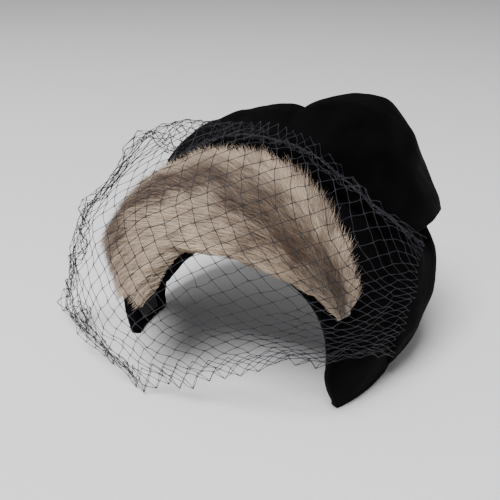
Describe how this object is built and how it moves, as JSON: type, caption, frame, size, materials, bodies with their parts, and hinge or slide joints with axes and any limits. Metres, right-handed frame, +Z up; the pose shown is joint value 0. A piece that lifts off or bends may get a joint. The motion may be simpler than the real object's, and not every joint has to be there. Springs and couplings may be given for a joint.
{
  "type": "fascinator headpiece",
  "caption": "Half hat of black velvet with a pale fur strip along the front edge, a draped velvet bow and a diamond net face veil that lifts.",
  "frame": {"origin": "midway between the front corners of the two ear tabs, on the surface the tabs stand on", "axes": "+Z up, the front of the hat faces -Y, +X is towards the wearer's left"},
  "size_m": [0.2039, 0.1612, 0.1395],
  "materials": {
    "velvet": "matte",
    "velvet_binding": "matte",
    "fur": "matte",
    "hide": "matte",
    "net": "matte",
    "thread": "matte",
    "satin": "satin",
    "grosgrain": "matte",
    "buckram": "matte",
    "domette": "matte",
    "crinoline": "matte",
    "wire": "matte"
  },
  "bodies": {
    "hat": {"buckram_foundation": "buckram", "domette_interlining": "domette", "velvet_cover": "velvet", "satin_lining": "satin", "headsize_ribbon": "grosgrain", "edge_wire_front": "wire", "edge_wire_back": "wire", "front_binding": "velvet_binding", "back_binding": "velvet_binding", "pelt_hide": "hide", "fur_pile": "fur", "bow_loop_right": "velvet", "bow_loop_right_crinoline": "crinoline", "bow_loop_left": "velvet", "bow_loop_left_crinoline": "crinoline", "bow_drape_side": "velvet", "bow_drape_crinoline": "crinoline", "bow_knot": "velvet", "veil_crown": "net", "veil_side": "net", "veil_gathers": "net", "gathering_thread": "thread"},
    "veil": {"veil_front": "net", "veil_hem_cord": "thread"}
  },
  "joints": [
    {"name": "veil_lift", "type": "hinge", "parent": "hat", "child": "veil", "pos_m": [0, 0.025, 0.05], "axis": [-1, 0, 0], "range_deg": [0, 42]}
  ]
}
